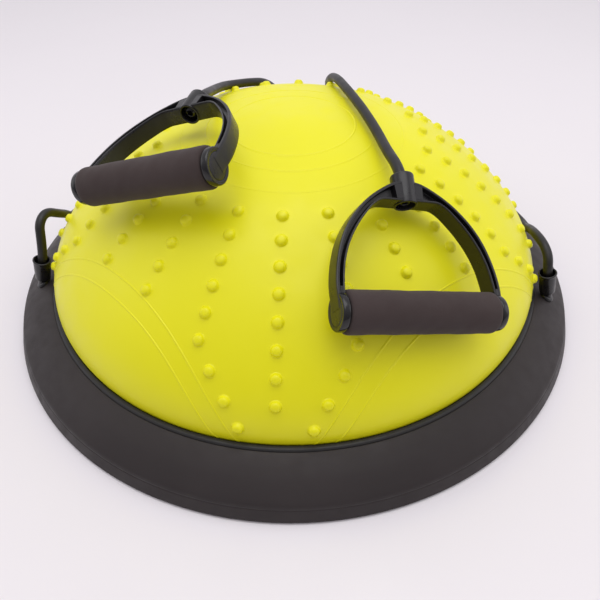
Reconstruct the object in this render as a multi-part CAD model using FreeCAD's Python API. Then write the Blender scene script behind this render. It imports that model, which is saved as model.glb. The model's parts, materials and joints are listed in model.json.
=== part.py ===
import FreeCAD, Part
import math
import os

# Balance dome trainer: an inflated rubber dome on a round plastic platform, with two rubber
# bands that run from cups on the platform's rim, round the back of the dome and over its top,
# to two D-shaped handles with foam grips.
# Millimetres, +Z up. The origin is the middle of the footprint, on the floor. The front is -Y.

Vec = FreeCAD.Vector
os.makedirs("parts", exist_ok=True)

# ---- platform and cover ring --------------------------------------------------------------
FOOT_H = 2.5                # rubber feet under the plate
FOOT_R = 13.0
FOOT_COUNT = 8
FOOT_PITCH_R = 262.0
PLATE_R = 288.0             # round plate that closes the dome from below
PLATE_T = 4.0
SHELF_IN_R = 240.0          # annular shelf that carries the dome's flange
SHELF_OUT_R = 272.0
SHELF_TOP = 18.0
SHELF_T = 4.0
RIB_COUNT = 8               # radial stiffening ribs on the plate
RIB_T = 3.0
RIB_TOP = 14.0
RING_FOOT_R = 294.3         # cover ring: outside radius at its lower edge
RING_FOOT_Z = 2.0
RING_EDGE_R = 290.2         # top of the ring's side wall
RING_EDGE_Z = 14.4
RING_IN_R = 254.2           # inner edge of the ring's sloping top
RING_IN_Z = 37.2
RING_T = 3.9
BOSS_R = 5.0                # screw bosses under the ring
BOSS_PITCH_R = 280.0
SCREW_COUNT = 12
SCREW_R = 2.0

# ---- dome ---------------------------------------------------------------------------------
DOME_R = 249.6              # widest radius
DOME_WIDE_Z = 45.8          # height of the widest point
DOME_RISE = 157.55          # rise above it before the crown is flattened
DOME_POWER = 1.6            # exponent of the dome's superellipse profile
CROWN_R = 140.0             # the crown is flattened inside this radius
CROWN_DROP = 15.86
DOME_WALL = 3.5
FLANGE_R = 264.0
BEAD_IN_R = 259.5
BEAD_TOP = 24.0

# ---- air valve in the plate ---------------------------------------------------------------
VALVE_XY = (0.0, 150.0)
VALVE_BORE_R = 4.6

# ---- band anchors on the ring, mirrored left and right --------------------------------------
CUP_MOUTH = Vec(251.6, -62.2, 63.0)
CUP_FOOT = Vec(259.4, -63.7, 33.0)      # where the cup's axis meets the ring's sloping top
CUP_LIP_R = 8.7
CUP_TOP_R = 8.2
CUP_LOW_R = 7.4
CUP_HEIGHT = 24.5           # from the mouth down to the rounded bottom
CUP_BALL_R = 5.8            # ball stop that holds the band's end in the cup
CUP_BALL_AT = 16.0          # its centre, below the mouth
CUP_SEAT = 3.4              # from the ball's centre to its flat
CUP_BORE_R = 4.95
CUP_MOUTH_R = 7.1
NECK_R = 4.8
ANCHOR_FOOT_R = 7.0         # round foot on the ring, under the cup
ANCHOR_FOOT_T = 2.4
RING_SLOPE_DEG = 31.0       # slope of the ring's top under the foot
WALL_UNDER_FOOT = 3.2

# ---- bands --------------------------------------------------------------------------------
BAND_D = 9.0

# ---- handles ------------------------------------------------------------------------------
HANDLE_W = 136.6            # over the two hub discs
HUB_T = 5.9
HUB_R = 14.2
FOAM_R = 16.1
CORE_R = 10.0
CORE_BORE_R = 6.05
AXLE_R = 6.0
FRAME_DEPTH = 15.6          # thickness of the D frame
GROOVE_W_IN = 2.1           # rim left on each side of the groove in the frame's edges
GROOVE_DEPTH = 5.2
BOSS_LOW = 84.5             # band boss: from the grip's axis, along the handle
BOSS_TOP = 110.3
BOSS_TUBE_R = 9.4
BALL_R = 7.2                # ball on the band's end, inside the boss
BALL_AT = 93.0
BALL_CHAMBER_R = 7.5
BAND_END_AT = 98.5          # where the band meets its ball
BAND_HOLE_R = 4.75


def pose(centre, grip, arm):
    """Placement with X along the grip, Y from the grip towards the boss and Z off the dome."""
    x = Vec(*grip).normalize()
    z = x.cross(Vec(*arm)).normalize()
    y = z.cross(x)
    matrix = FreeCAD.Matrix(x.x, y.x, z.x, centre[0],
                            x.y, y.y, z.y, centre[1],
                            x.z, y.z, z.z, centre[2],
                            0, 0, 0, 1)
    return FreeCAD.Placement(matrix)


HANDLES = {
    "left": pose((-106.5, -111.0, 190.8), (0.904, -0.271, 0.329), (0.233, 0.961, 0.152)),
    "right": pose((104.9, -191.6, 132.2), (0.924, 0.284, -0.255), (-0.121, 0.851, 0.511)),
}


def save(name, shape):
    """Write one sub-part and print its size, so that a bad solid is seen at once."""
    solids = len(shape.Solids)
    print(name, "solids", solids, "valid", shape.isValid(), "volume", round(shape.Volume))
    shape.exportStep("parts/" + name + ".step")


def revolve(edges):
    """Turn a closed profile in the XZ plane into a solid of revolution about Z."""
    face = Part.Face(Part.Wire(edges))
    solid = face.revolve(Vec(0, 0, 0), Vec(0, 0, 1), 360)
    return solid if solid.Volume > 0 else solid.reversed()


def polygon_edges(points):
    """Straight edges through (radius, height) points, closed."""
    vectors = [Vec(r, 0, z) for r, z in points]
    return [Part.makeLine(a, b) for a, b in zip(vectors, vectors[1:] + vectors[:1])]


def arc(a, mid, b):
    """Arc edge through three (radius, height) points."""
    return Part.Arc(Vec(a[0], 0, a[1]), Vec(mid[0], 0, mid[1]), Vec(b[0], 0, b[1])).toShape()


def line(a, b):
    """Straight edge between two (radius, height) points."""
    return Part.makeLine(Vec(a[0], 0, a[1]), Vec(b[0], 0, b[1]))


def around(count, radius, first_deg=0.0):
    """Evenly spaced places on a circle, as (x, y, angle in degrees)."""
    places = []
    for i in range(count):
        deg = first_deg + 360.0 * i / count
        rad = math.radians(deg)
        places.append((radius * math.cos(rad), radius * math.sin(rad), deg))
    return places


def join(shapes):
    """Fuse solids that touch or overlap into one."""
    return shapes[0].multiFuse(shapes[1:]).removeSplitter()


def mirror_x(shape):
    """The same shape on the other side."""
    return shape.mirror(Vec(0, 0, 0), Vec(1, 0, 0))


# ---- platform plate -----------------------------------------------------------------------
plate_low = FOOT_H
plate_top = FOOT_H + PLATE_T
plate_core = revolve(polygon_edges([
    (0, plate_low), (PLATE_R, plate_low), (PLATE_R, plate_top), (SHELF_OUT_R, plate_top),
    (SHELF_OUT_R, SHELF_TOP), (SHELF_IN_R, SHELF_TOP), (SHELF_IN_R, SHELF_TOP - SHELF_T),
    (SHELF_OUT_R - 4, SHELF_TOP - SHELF_T), (SHELF_OUT_R - 4, plate_top), (0, plate_top)]))
rib_in = 55.0
rib_length = SHELF_IN_R - 4 - rib_in
ribs = []
for x, y, deg in around(RIB_COUNT, 1.0, 22.5):
    rib = Part.makeBox(rib_length, RIB_T, RIB_TOP - plate_top + 1, Vec(rib_in, -RIB_T / 2, plate_top - 1))
    rib.rotate(Vec(0, 0, 0), Vec(0, 0, 1), deg)
    ribs.append(rib)
rib_hub = Part.makeCylinder(rib_in + 2, RIB_TOP - plate_top + 1, Vec(0, 0, plate_top - 1))
rib_hub = rib_hub.cut(Part.makeCylinder(rib_in - 1, 40, Vec(0, 0, 0)))
valve_x, valve_y = VALVE_XY
valve_boss = Part.makeCylinder(26, 12 - plate_top + 1, Vec(valve_x, valve_y, plate_top - 1))
plate = join([plate_core, rib_hub, valve_boss] + ribs)
plate = plate.cut(Part.makeCylinder(20, 8 - plate_low + 1, Vec(valve_x, valve_y, plate_low - 1)))
plate = plate.cut(Part.makeCylinder(8, 20, Vec(valve_x, valve_y, 0)))
seal_groove = revolve(polygon_edges([
    (252, SHELF_TOP - 1.5), (255, SHELF_TOP - 1.5), (255, SHELF_TOP + 1), (252, SHELF_TOP + 1)]))
plate = plate.cut(seal_groove)
screw_holes = []
for x, y, deg in around(SCREW_COUNT, BOSS_PITCH_R, 15.0):
    screw_holes.append(Part.makeCylinder(SCREW_R + 0.2, 10, Vec(x, y, 0)))
    screw_holes.append(Part.makeCylinder(4.2, 2.0, Vec(x, y, plate_low - 0.01)))
plate = plate.cut(Part.makeCompound(screw_holes))
save("base_plate", plate)

seal = revolve(polygon_edges([
    (252.1, SHELF_TOP - 1.45), (254.9, SHELF_TOP - 1.45), (254.9, SHELF_TOP - 0.02),
    (252.1, SHELF_TOP - 0.02)]))
save("seal_ring", seal)

feet = []
for x, y, deg in around(FOOT_COUNT, FOOT_PITCH_R, 22.5):
    foot = Part.makeCone(FOOT_R - 1.2, FOOT_R, FOOT_H, Vec(x, y, 0))
    feet.append(foot)
save("rubber_feet", Part.makeCompound(feet))

# ---- cover ring ---------------------------------------------------------------------------
crown_mid = (271.6, 30.1)           # the sloping top is slightly full
shoulder = (287.6, 18.4)
ring_edges = [
    line((RING_FOOT_R, RING_FOOT_Z), (RING_EDGE_R, RING_EDGE_Z)),
    arc((RING_EDGE_R, RING_EDGE_Z), (289.4, 16.6), shoulder),
    arc(shoulder, crown_mid, (RING_IN_R, RING_IN_Z)),
    line((RING_IN_R, RING_IN_Z), (RING_IN_R, BEAD_TOP + 0.6)),
    line((RING_IN_R, BEAD_TOP + 0.6), (RING_IN_R + 3, BEAD_TOP + 0.6)),
    line((RING_IN_R + 3, BEAD_TOP + 0.6), (RING_IN_R + 3, 31.6)),
    arc((RING_IN_R + 3, 31.6), (270.0, 26.0), (284.6, 15.9)),
    arc((284.6, 15.9), (285.8, 14.6), (286.4, 13.0)),
    line((286.4, 13.0), (RING_FOOT_R - RING_T, RING_FOOT_Z)),
    line((RING_FOOT_R - RING_T, RING_FOOT_Z), (RING_FOOT_R, RING_FOOT_Z)),
]
ring_shell = revolve(ring_edges)
ring_envelope = revolve([
    line((230, 0), (RING_FOOT_R, 0)),
    line((RING_FOOT_R, 0), (RING_FOOT_R, RING_FOOT_Z)),
    ring_edges[0], ring_edges[1], ring_edges[2],
    line((RING_IN_R, RING_IN_Z), (230, RING_IN_Z)),
    line((230, RING_IN_Z), (230, 0))])
bosses = []
for x, y, deg in around(SCREW_COUNT, BOSS_PITCH_R, 15.0):
    bosses.append(Part.makeCylinder(BOSS_R, 20, Vec(x, y, plate_top)))
bosses = Part.makeCompound(bosses).common(ring_envelope)
ring = join([ring_shell] + bosses.Solids)
boss_holes = [Part.makeCylinder(SCREW_R, 9, Vec(x, y, plate_top - 1))
              for x, y, deg in around(SCREW_COUNT, BOSS_PITCH_R, 15.0)]
ring = ring.cut(Part.makeCompound(boss_holes))

screws = []
for x, y, deg in around(SCREW_COUNT, BOSS_PITCH_R, 15.0):
    head = Part.makeCylinder(3.8, 1.7, Vec(x, y, plate_low + 0.2))
    slot = Part.makeBox(5.0, 1.0, 0.8, Vec(x - 2.5, y - 0.5, plate_low + 0.2))
    shank = Part.makeCylinder(SCREW_R - 0.02, 10.5, Vec(x, y, plate_low + 1.5))
    screws.append(head.fuse(shank).cut(slot))
save("base_screws", Part.makeCompound(screws))

trim = revolve(polygon_edges([
    (248.9, 33.4), (254.1, 33.4), (254.1, 37.7), (252.8, 39.0), (249.5, 39.0), (248.9, 38.4)]))
save("rim_trim", trim)

clamp = revolve(polygon_edges([
    (248.4, 21.6), (258.6, 21.6), (258.6, BEAD_TOP + 0.55), (250.0, BEAD_TOP + 0.55),
    (248.4, BEAD_TOP - 0.6)]))
save("clamp_ring", clamp)


# ---- dome membrane ------------------------------------------------------------------------
def dome_point(t):
    """Point (radius, height) of the dome's outside; t runs from 0, the widest, to 90 degrees."""
    power = 2.0 / DOME_POWER
    radius = DOME_R * math.cos(t) ** power
    height = DOME_WIDE_Z + DOME_RISE * math.sin(t) ** power
    flat = max(0.0, 1.0 - (radius / CROWN_R) ** 2)
    return radius, height - CROWN_DROP * flat ** 2


def dome_inner(t):
    """The same point on the inside of the wall."""
    step = 1e-3
    a = dome_point(max(t - step, 1e-6))
    b = dome_point(min(t + step, math.pi / 2 - 1e-6))
    length = math.hypot(b[0] - a[0], b[1] - a[1])
    normal = ((b[1] - a[1]) / length, -(b[0] - a[0]) / length)
    r, z = dome_point(t)
    return r - normal[0] * DOME_WALL, z - normal[1] * DOME_WALL


def spline_edge(points):
    """Smooth edge through (radius, height) points."""
    curve = Part.BSplineCurve()
    curve.interpolate([Vec(r, 0, z) for r, z in points])
    return curve.toShape()


turns = [math.radians(d) for d in (4, 9, 15, 21, 28, 35, 43, 51, 59, 67, 74, 80, 84.5)]
skirt_out = (247.2, 34.0)
skirt_in = (243.8, 34.0)
top_z = dome_point(math.pi / 2)[1]
outer_points = [skirt_out, (DOME_R - 0.15, 44.0)] + [dome_point(t) for t in turns] + [(0.0, top_z)]
inner_points = [skirt_in, (DOME_R - DOME_WALL - 0.15, 44.0)]
inner_points += [dome_inner(t) for t in turns] + [(0.0, top_z - DOME_WALL)]
membrane = revolve([
    spline_edge(outer_points),
    line((0, top_z), (0, top_z - DOME_WALL)),
    spline_edge(inner_points[::-1]),
    line(skirt_in, (243.8, SHELF_TOP)),
    line((243.8, SHELF_TOP), (FLANGE_R, SHELF_TOP)),
    line((FLANGE_R, SHELF_TOP), (FLANGE_R, BEAD_TOP)),
    line((FLANGE_R, BEAD_TOP), (BEAD_IN_R, BEAD_TOP)),
    line((BEAD_IN_R, BEAD_TOP), (BEAD_IN_R, SHELF_TOP + DOME_WALL)),
    line((BEAD_IN_R, SHELF_TOP + DOME_WALL), (247.2, SHELF_TOP + DOME_WALL)),
    line((247.2, SHELF_TOP + DOME_WALL), skirt_out)])
save("dome_membrane", membrane)

# ---- air valve ----------------------------------------------------------------------------
grommet = revolve(polygon_edges([
    (VALVE_BORE_R, 6.6), (12, 6.6), (12, 7.98), (7.95, 7.98), (7.95, 12.02), (10.5, 12.02),
    (9.5, 14), (VALVE_BORE_R, 14)]))
grommet.translate(Vec(valve_x, valve_y, 0))
save("valve_grommet", grommet)
plug = revolve(polygon_edges([
    (0, 3.2), (8.2, 3.2), (9, 4.0), (9, 5.6), (8.2, 6.4), (4.55, 6.4), (4.55, 16.5), (3, 18.5),
    (0, 18.5)]))
pull_tab = Part.makeBox(3.0, 13.0, 2.2, Vec(-1.5, -6.5, 1.4))
plug = plug.fuse(pull_tab).removeSplitter()
plug.translate(Vec(valve_x, valve_y, 0))
save("valve_plug", plug)

# ---- band anchors -------------------------------------------------------------------------
cup_axis = CUP_MOUTH.sub(CUP_FOOT).normalize()
cup_ball = CUP_MOUTH - cup_axis * CUP_BALL_AT
neck_length = CUP_MOUTH.sub(CUP_FOOT).Length - CUP_HEIGHT - 2.0
foot_deg = math.degrees(math.atan2(CUP_FOOT.y, CUP_FOOT.x))
foot_slope = math.radians(RING_SLOPE_DEG)
foot_out = Vec(math.cos(math.radians(foot_deg)), math.sin(math.radians(foot_deg)), 0)
foot_normal = foot_out * math.sin(foot_slope) + Vec(0, 0, math.cos(foot_slope))

# the cup is turned about Z and then set on its leaning axis, with the mouth at height 0
cup = revolve([
    line((0, 0), (CUP_LIP_R - 0.7, 0)),
    arc((CUP_LIP_R - 0.7, 0), (CUP_LIP_R - 0.2, -0.2), (CUP_LIP_R, -0.7)),
    line((CUP_LIP_R, -0.7), (CUP_LIP_R, -1.6)),
    line((CUP_LIP_R, -1.6), (CUP_TOP_R, -2.3)),
    line((CUP_TOP_R, -2.3), (CUP_LOW_R, 2.0 - CUP_HEIGHT)),
    arc((CUP_LOW_R, 2.0 - CUP_HEIGHT), (CUP_LOW_R - 0.6, 0.5 - CUP_HEIGHT),
        (CUP_LOW_R - 2.0, -CUP_HEIGHT)),
    line((CUP_LOW_R - 2.0, -CUP_HEIGHT), (NECK_R, -CUP_HEIGHT - 1.0)),
    line((NECK_R, -CUP_HEIGHT - 1.0), (NECK_R, -CUP_HEIGHT - neck_length - 6.0)),
    line((NECK_R, -CUP_HEIGHT - neck_length - 6.0), (0, -CUP_HEIGHT - neck_length - 6.0)),
    line((0, -CUP_HEIGHT - neck_length - 6.0), (0, 0))])
cup.Placement = FreeCAD.Placement(CUP_MOUTH, FreeCAD.Rotation(Vec(0, 0, 1), cup_axis))
foot = Part.makeCylinder(ANCHOR_FOOT_R, 4.0 + ANCHOR_FOOT_T, CUP_FOOT - foot_normal * 4.0, foot_normal)
top_edges = [e for e in foot.Edges
             if (e.CenterOfMass - CUP_FOOT).dot(foot_normal) > ANCHOR_FOOT_T - 0.01]
foot = foot.makeFillet(1.1, top_edges)
anchor = join([cup, foot]).cut(ring_envelope)
ball_room = Part.makeSphere(CUP_BALL_R + 0.25, cup_ball)
band_bore = Part.makeCylinder(CUP_BORE_R, CUP_BALL_AT, cup_ball, cup_axis)
flare = Part.makeCone(CUP_BORE_R, CUP_MOUTH_R, 11.0, CUP_MOUTH - cup_axis * 10.0, cup_axis)
anchor = anchor.cut(ball_room).cut(band_bore).cut(flare)
stop_flat = Part.makeCylinder(CUP_BALL_R + 1, 10, cup_ball + cup_axis * CUP_SEAT, cup_axis)
band_stop = Part.makeSphere(CUP_BALL_R, cup_ball).cut(stop_flat)

# one screw from under the ring holds each anchor; its head sits in a flat recess
seat = CUP_FOOT - foot_normal * WALL_UNDER_FOOT
screw_head = Part.makeCylinder(4.6, 1.6, seat - foot_normal * 1.6, foot_normal)
screw_shank = Part.makeCylinder(1.5, 8.4, seat, foot_normal)
screw_socket = Part.makeCylinder(1.4, 0.8, seat - foot_normal * 1.61, foot_normal)
anchor_screw = screw_head.fuse(screw_shank).cut(screw_socket)
screw_hole = Part.makeCylinder(1.6, 12.0, seat - foot_normal * 3.0, foot_normal)
recess = Part.makeCylinder(5.0, 8.0, seat - foot_normal * 8.0, foot_normal)
anchor = anchor.cut(screw_hole)

ring = ring.cut(Part.makeCompound([screw_hole, mirror_x(screw_hole)]))
ring = ring.cut(Part.makeCompound([recess, mirror_x(recess)]))
save("base_ring", ring)
save("anchor_right", anchor)
save("anchor_left", mirror_x(anchor))
save("anchor_screws", Part.makeCompound([anchor_screw, mirror_x(anchor_screw)]))
save("band_stop_right", band_stop)
save("band_stop_left", mirror_x(band_stop))


# ---- bands --------------------------------------------------------------------------------
def tube_path(points):
    """Straight runs joined by tangent arcs; each arc is as large as its two runs allow."""
    edges = []
    radii = []
    start = points[0]
    for before, corner, after in zip(points, points[1:], points[2:]):
        back = before - corner
        ahead = after - corner
        run = min(back.Length, ahead.Length)
        half = (math.pi - back.getAngle(ahead)) / 2
        back.normalize()
        ahead.normalize()
        reach = 0.45 * run
        radius = reach / math.tan(half)
        first = corner + back * reach
        last = corner + ahead * reach
        inward = (back + ahead).normalize()
        middle = corner + inward * (radius / math.cos(half) - radius)
        edges.append(Part.LineSegment(start, first).toShape())
        edges.append(Part.Arc(first, middle, last).toShape())
        radii.append(round(radius, 1))
        start = last
    edges.append(Part.LineSegment(start, points[-1]).toShape())
    return Part.Wire(edges), radii


def tube(name, points):
    """Round tube along a route."""
    path, radii = tube_path(points)
    along = (points[1] - points[0]).normalize()
    circle = Part.Wire(Part.makeCircle(BAND_D / 2, points[0], along))
    solid = path.makePipeShell([circle], True, True)
    if solid.Volume < 0:
        solid = solid.reversed()
    expected = math.pi * (BAND_D / 2) ** 2 * path.Length
    print(name, "length", round(path.Length), "volume over section x length",
          round(solid.Volume / expected, 4), "radii", radii)
    save(name, solid)


# Each route starts on its ball stop and ends on the ball in the handle's boss. It leaves the
# cup, folds over towards the back, lies in the groove between ring and dome, climbs the back
# of the dome and comes over its top.
ROUTE_LEFT = [
    (-249.9, -61.9, 65.0), (-248.0, -55.5, 83.0), (-248.5, -47.5, 97.5), (-246.0, -33.0, 101.0),
    (-243.5, -16.0, 87.0), (-247.3, 5.0, 71.5), (-256.0, 28.0, 52.0), (-260.0, 54.0, 42.0),
    (-239.0, 107.0, 40.5), (-211.0, 156.0, 40.5), (-172.0, 198.0, 40.5), (-129.0, 228.0, 40.5),
    (-87.0, 247.0, 46.0), (-54.0, 241.5, 76.0), (-36.5, 222.5, 104.6), (-32.5, 200.0, 127.0),
    (-36.0, 178.0, 142.5), (-43.0, 158.0, 155.4), (-54.5, 139.0, 162.8), (-67.5, 121.0, 168.2),
    (-77.5, 101.0, 174.5), (-81.0, 76.0, 182.2), (-81.0, 44.0, 192.8)]
ROUTE_RIGHT = [
    (251.1, -62.1, 65.0), (250.5, -54.0, 77.0), (248.0, -40.0, 81.5), (246.5, -19.0, 78.0),
    (249.5, 5.0, 66.5), (256.5, 30.0, 49.5), (258.5, 54.0, 42.0), (239.0, 107.0, 40.5),
    (211.0, 156.0, 40.5), (172.0, 198.0, 40.5), (129.0, 228.0, 40.5), (88.0, 247.0, 46.0),
    (58.0, 243.0, 75.5), (41.0, 223.5, 103.8), (34.5, 198.5, 128.6), (33.0, 175.0, 146.9),
    (34.0, 152.0, 161.7), (37.5, 128.0, 174.6), (43.0, 100.0, 183.2), (49.0, 72.0, 187.6),
    (57.0, 42.0, 190.2), (67.0, 8.0, 190.7), (77.0, -28.0, 189.0), (82.5, -56.0, 188.5)]
BOSS_LEAD = {"left": 4.0, "right": 5.0}       # last corner, in line with the boss
for side, route in (("left", ROUTE_LEFT), ("right", ROUTE_RIGHT)):
    sign = -1 if side == "left" else 1
    stop = cup_ball + cup_axis * CUP_SEAT
    placement = HANDLES[side]
    points = [Vec(sign * stop.x, stop.y, stop.z)] + [Vec(*p) for p in route]
    points.append(placement.multVec(Vec(0, BOSS_TOP + BOSS_LEAD[side], 0)))
    points.append(placement.multVec(Vec(0, BAND_END_AT, 0)))
    # the last bit of band, from the hinge point on, moves with the handle
    hinge = (points[-4] + points[-3]) * 0.5
    tube("band_" + side, points[:-3] + [hinge])
    tube("band_tip_" + side, [hinge] + points[-3:])
    print(side, "hinge", [round(c, 1) for c in hinge],
          "axis", [round(c, 4) for c in placement.Rotation.multVec(Vec(-1, 0, 0))],
          "grip", [round(c, 1) for c in placement.Base],
          "boss axis", [round(c, 4) for c in placement.Rotation.multVec(Vec(0, 1, 0))])


# ---- handles ------------------------------------------------------------------------------
def flat_arc(a, mid, b):
    """Arc edge in the handle's own XY plane."""
    return Part.Arc(Vec(a[0], a[1], 0), Vec(mid[0], mid[1], 0), Vec(b[0], b[1], 0)).toShape()


def flat_line(a, b):
    """Straight edge in the handle's own XY plane."""
    return Part.makeLine(Vec(a[0], a[1], 0), Vec(b[0], b[1], 0))


def flip(points):
    """The same points on the other side of the handle's middle."""
    return [(-x, y) for x, y in points]


half_w = HANDLE_W / 2
out_low = (half_w, 2.0)
out_a = (half_w + 0.4, 15.0)
out_b = (57.6, 59.5)
out_c = (11.9, 101.0)
in_low = (half_w - HUB_T + 0.2, 2.0)
in_a = (half_w - HUB_T - 0.1, 17.0)
in_b = (50.4, 57.0)
in_c = (24.5, 85.2)
mid_out_ab = (66.2, 38.0)
mid_out_bc = (38.4, 83.6)
mid_in_ab = (59.3, 36.0)
mid_in_bc = (39.6, 71.9)
outline = [
    flat_line(in_low, out_low),
    flat_line(out_low, out_a),
    flat_arc(out_a, mid_out_ab, out_b),
    flat_arc(out_b, mid_out_bc, out_c),
    flat_line(out_c, flip([out_c])[0]),
    flat_arc(*flip([out_c, mid_out_bc, out_b])),
    flat_arc(*flip([out_b, mid_out_ab, out_a])),
    flat_line(*flip([out_a, out_low])),
    flat_line(*flip([out_low, in_low])),
    flat_line(*flip([in_low, in_a])),
    flat_arc(*flip([in_a, mid_in_ab, in_b])),
    flat_arc(*flip([in_b, mid_in_bc, in_c])),
    flat_line(flip([in_c])[0], in_c),
    flat_arc(in_c, mid_in_bc, in_b),
    flat_arc(in_b, mid_in_ab, in_a),
    flat_line(in_a, in_low),
]
frame_face = Part.Face(Part.Wire(outline))
frame_body = frame_face.extrude(Vec(0, 0, FRAME_DEPTH))
frame_body.translate(Vec(0, 0, -FRAME_DEPTH / 2))
groove_face = frame_face.makeOffset2D(-GROOVE_W_IN)
groove_limit = Part.makeBox(2 * HANDLE_W, 88.0, 100, Vec(-HANDLE_W, 20.0, -50))
grooves = []
for low in (FRAME_DEPTH / 2 - GROOVE_DEPTH, -FRAME_DEPTH / 2 - 1):
    groove = groove_face.extrude(Vec(0, 0, GROOVE_DEPTH + 1))
    groove.translate(Vec(0, 0, low))
    grooves.append(groove.common(groove_limit))
frame_body = frame_body.cut(grooves[0]).cut(grooves[1])
boss_tube = Part.makeCylinder(BOSS_TUBE_R, BOSS_TOP - BOSS_LOW, Vec(0, BOSS_LOW, 0), Vec(0, 1, 0))
round_off = boss_tube.Edges
boss_tube = boss_tube.makeFillet(1.6, [e for e in round_off if abs(e.BoundBox.YMin - BOSS_TOP) < 1e-3])
hubs = []
for x in (-half_w, half_w - HUB_T):
    hub = Part.makeCylinder(HUB_R, HUB_T, Vec(x, 0, 0), Vec(1, 0, 0))
    circles = [e for e in hub.Edges if e.BoundBox.XMax - e.BoundBox.XMin < 1e-3]
    hubs.append(hub.makeFillet(1.2, circles))
frame = join([frame_body, boss_tube] + hubs)
chamber = Part.makeCylinder(BALL_CHAMBER_R, BAND_END_AT - BOSS_LOW + 1, Vec(0, BOSS_LOW - 1, 0), Vec(0, 1, 0))
band_hole = Part.makeCylinder(BAND_HOLE_R, 40, Vec(0, BOSS_LOW, 0), Vec(0, 1, 0))
mouth = Part.makeCone(BAND_HOLE_R, BAND_HOLE_R + 2.2, 5.0, Vec(0, BOSS_TOP - 4.5, 0), Vec(0, 1, 0))
axle_bore = Part.makeCylinder(AXLE_R, HANDLE_W + 2, Vec(-half_w - 1, 0, 0), Vec(1, 0, 0))
cap_recess = []
for x in (-half_w - 1, half_w - 1.6):
    cap_recess.append(Part.makeCylinder(10.5, 2.6, Vec(x, 0, 0), Vec(1, 0, 0)))
frame = frame.cut(chamber).cut(band_hole).cut(mouth).cut(axle_bore)
frame = frame.cut(cap_recess[0]).cut(cap_recess[1])

axle = Part.makeCylinder(AXLE_R, HANDLE_W - 3.4, Vec(-half_w + 1.7, 0, 0), Vec(1, 0, 0))
foam_half = half_w - HUB_T - 0.4
core = Part.makeCylinder(CORE_R, 2 * foam_half, Vec(-foam_half, 0, 0), Vec(1, 0, 0))
core = core.cut(Part.makeCylinder(CORE_BORE_R, 200, Vec(-100, 0, 0), Vec(1, 0, 0)))
foam = Part.makeCylinder(FOAM_R, 2 * foam_half, Vec(-foam_half, 0, 0), Vec(1, 0, 0))
foam = foam.makeFillet(1.8, [e for e in foam.Edges if e.BoundBox.XMax - e.BoundBox.XMin < 1e-3])
foam = foam.cut(Part.makeCylinder(CORE_R, 200, Vec(-100, 0, 0), Vec(1, 0, 0)))
caps = []
for x in (-half_w + 0.2, half_w - 1.6):
    caps.append(Part.makeCylinder(10.4, 1.4, Vec(x, 0, 0), Vec(1, 0, 0)))
ball_flat = Part.makeCylinder(BALL_R + 1, 20, Vec(0, BAND_END_AT, 0), Vec(0, 1, 0))
ball = Part.makeSphere(BALL_R, Vec(0, BALL_AT, 0)).cut(ball_flat)

for side, placement in HANDLES.items():
    matrix = placement.toMatrix()
    for name, shape in (("handle_frame_", frame), ("grip_axle_", axle), ("grip_core_", core),
                        ("grip_foam_", foam), ("hub_caps_", Part.makeCompound(caps)),
                        ("band_ball_", ball)):
        save(name + side, shape.transformed(matrix, True))
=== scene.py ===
import json
import math

import bmesh
import bpy
from mathutils import Matrix, Vector


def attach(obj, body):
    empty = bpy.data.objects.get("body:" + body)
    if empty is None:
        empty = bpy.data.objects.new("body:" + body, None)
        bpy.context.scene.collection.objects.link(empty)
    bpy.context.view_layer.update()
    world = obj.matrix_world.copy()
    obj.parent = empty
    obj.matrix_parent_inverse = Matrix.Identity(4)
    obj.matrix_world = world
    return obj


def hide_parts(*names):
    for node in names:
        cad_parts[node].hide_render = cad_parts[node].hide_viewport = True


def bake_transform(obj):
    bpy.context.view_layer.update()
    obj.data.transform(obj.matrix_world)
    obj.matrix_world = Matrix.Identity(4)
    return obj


# Looks of the balance dome trainer, in metres, in the CAD model's own frame.

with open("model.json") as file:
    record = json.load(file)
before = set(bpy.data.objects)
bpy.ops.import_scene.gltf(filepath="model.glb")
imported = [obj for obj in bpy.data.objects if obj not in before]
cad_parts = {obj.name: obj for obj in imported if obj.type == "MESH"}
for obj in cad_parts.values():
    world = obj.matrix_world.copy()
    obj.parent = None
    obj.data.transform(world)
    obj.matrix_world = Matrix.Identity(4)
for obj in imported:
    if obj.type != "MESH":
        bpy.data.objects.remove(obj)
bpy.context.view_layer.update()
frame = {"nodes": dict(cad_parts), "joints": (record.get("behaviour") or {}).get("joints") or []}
joints = {joint["name"]: joint for joint in frame["joints"]}
MM = 0.001

# ---- camera -------------------------------------------------------------------------------
CAMERA_AT = Vector((0.0320, -0.4778, 0.4190))
CAMERA_LOOK = Vector((-0.03895, 0.71745, -0.69552))
CAMERA_UP = Vector((-0.02812, 0.69498, 0.71848))
LENS_MM = 33.04
SENSOR_MM = 36.0
camera = bpy.data.objects.new("camera", bpy.data.cameras.new("camera"))
bpy.context.scene.collection.objects.link(camera)
camera.data.lens = LENS_MM
camera.data.sensor_width = SENSOR_MM
back = -CAMERA_LOOK.normalized()
right = CAMERA_UP.cross(back).normalized()
up = back.cross(right)
camera.matrix_world = Matrix((
    (right.x, up.x, back.x, CAMERA_AT.x),
    (right.y, up.y, back.y, CAMERA_AT.y),
    (right.z, up.z, back.z, CAMERA_AT.z),
    (0, 0, 0, 1)))
bpy.context.scene.camera = camera
bpy.context.scene.view_settings.view_transform = "Standard"


# ---- mesh helpers -------------------------------------------------------------------------
WELD = 1e-7


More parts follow.
